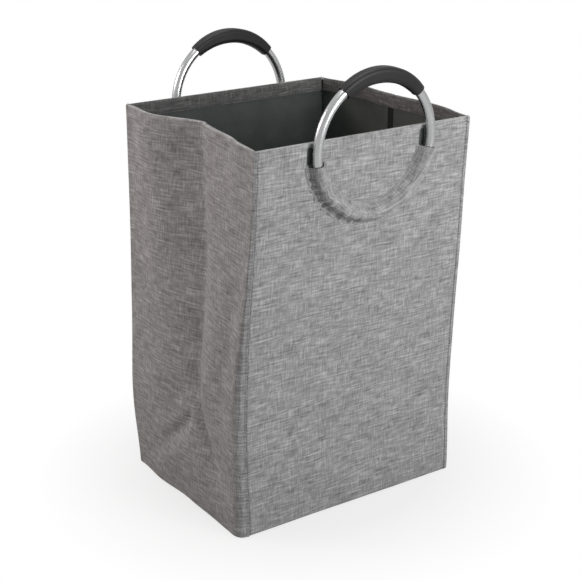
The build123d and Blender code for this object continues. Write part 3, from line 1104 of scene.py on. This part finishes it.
def seen_rays(tree):
    """Rays that see the surround as white: straight from the camera or through clear things, and
    dimmer ones from a mirroring piece."""
    path = tree.nodes.new("ShaderNodeLightPath")
    dim = math_node(tree, "MULTIPLY", path.outputs["Is Glossy Ray"], GLOSSY_WHITE)
    seen = math_node(tree, "MAXIMUM", path.outputs["Is Camera Ray"], dim)
    return math_node(tree, "MAXIMUM", seen, path.outputs["Is Transmission Ray"])


def floor_material():
    """Pale floor that keeps the shadow near the hamper and is seen as white further off."""
    material, nodes, links = new_material("pale floor")
    tree, shader, out = material.node_tree, nodes["Principled BSDF"], nodes["Material Output"]
    shader.inputs["Base Color"].default_value = (0.50, 0.50, 0.50, 1)
    shader.inputs["Roughness"].default_value = 0.9
    shader.inputs["Specular IOR Level"].default_value = 0.2
    white = nodes.new("ShaderNodeEmission")
    place = nodes.new("ShaderNodeTexCoord")
    far = nodes.new("ShaderNodeVectorMath")
    far.operation = "LENGTH"
    links.new(place.outputs["Object"], far.inputs[0])
    fade = mapped(tree, far.outputs["Value"], 0.18, 0.36, 0.76, 1.0)
    mix = nodes.new("ShaderNodeMixShader")
    links.new(math_node(tree, "MULTIPLY", seen_rays(tree), fade), mix.inputs["Fac"])
    links.new(shader.outputs[0], mix.inputs[1])
    links.new(white.outputs[0], mix.inputs[2])
    links.new(mix.outputs[0], out.inputs["Surface"])
    return material


FLOOR_LEVEL = -0.0006
floor_corners = [(x, y, FLOOR_LEVEL) for x, y in ((-6, -6), (6, -6), (6, 6), (-6, 6))]
floor = mesh_piece("floor", floor_corners, [(0, 1, 2, 3)], material=floor_material())
floor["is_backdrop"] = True

world = bpy.data.worlds.new("studio")
bpy.context.scene.world = world
world.use_nodes = True
nodes, links = world.node_tree.nodes, world.node_tree.links
nodes.clear()
out = nodes.new("ShaderNodeOutputWorld")
mix = nodes.new("ShaderNodeMixShader")
room, white = nodes.new("ShaderNodeBackground"), nodes.new("ShaderNodeBackground")
room.inputs["Color"].default_value = (0.97, 0.98, 1.0, 1)
room.inputs["Strength"].default_value = 0.10
white.inputs["Color"].default_value = (1, 1, 1, 1)
white.inputs["Strength"].default_value = 1.0
links.new(seen_rays(world.node_tree), mix.inputs["Fac"])
links.new(room.outputs[0], mix.inputs[1])
links.new(white.outputs[0], mix.inputs[2])
links.new(mix.outputs[0], out.inputs["Surface"])


def soft_light(name, place, aim, size, power, colour=(1, 1, 1)):
    lamp = bpy.data.lights.new(name, "AREA")
    lamp.shape = "RECTANGLE"
    lamp.size, lamp.size_y = size
    lamp.energy = power
    lamp.color = colour
    holder = bpy.data.objects.new(name, lamp)
    holder.location = place
    holder.rotation_euler = (Vector(aim) - Vector(place)).to_track_quat("-Z", "Y").to_euler()
    bpy.context.collection.objects.link(holder)


soft_light("right key", (0.25, -1.06, 0.70), (0, -0.1, 0.25), (0.5, 0.5), 10.0)
soft_light("left fill", (-1.02, 0.68, 1.0), (0, 0, 0.25), (0.4, 0.4), 9.7, (1.0, 0.89, 0.85))
soft_light("top", (0.1, 0.0, 2.2), (0, 0, 0.2), (1.2, 1.2), 24)

camera = bpy.data.cameras.new("camera")
camera.lens = 86.6
camera.sensor_width = 36
camera.clip_end = 60
eye = bpy.data.objects.new("camera", camera)
azimuth, elevation, distance = math.radians(-35.0), math.radians(19.9), 1.847
target = Vector((-0.0111, 0.0015, 0.258))
back = Vector((
    math.sin(azimuth) * math.cos(elevation),
    -math.cos(azimuth) * math.cos(elevation),
    math.sin(elevation),
))
eye.location = target + back * distance
eye.rotation_euler = back.to_track_quat("Z", "Y").to_euler()
bpy.context.collection.objects.link(eye)
bpy.context.scene.camera = eye

bpy.context.scene.view_settings.view_transform = "Standard"

low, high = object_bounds()
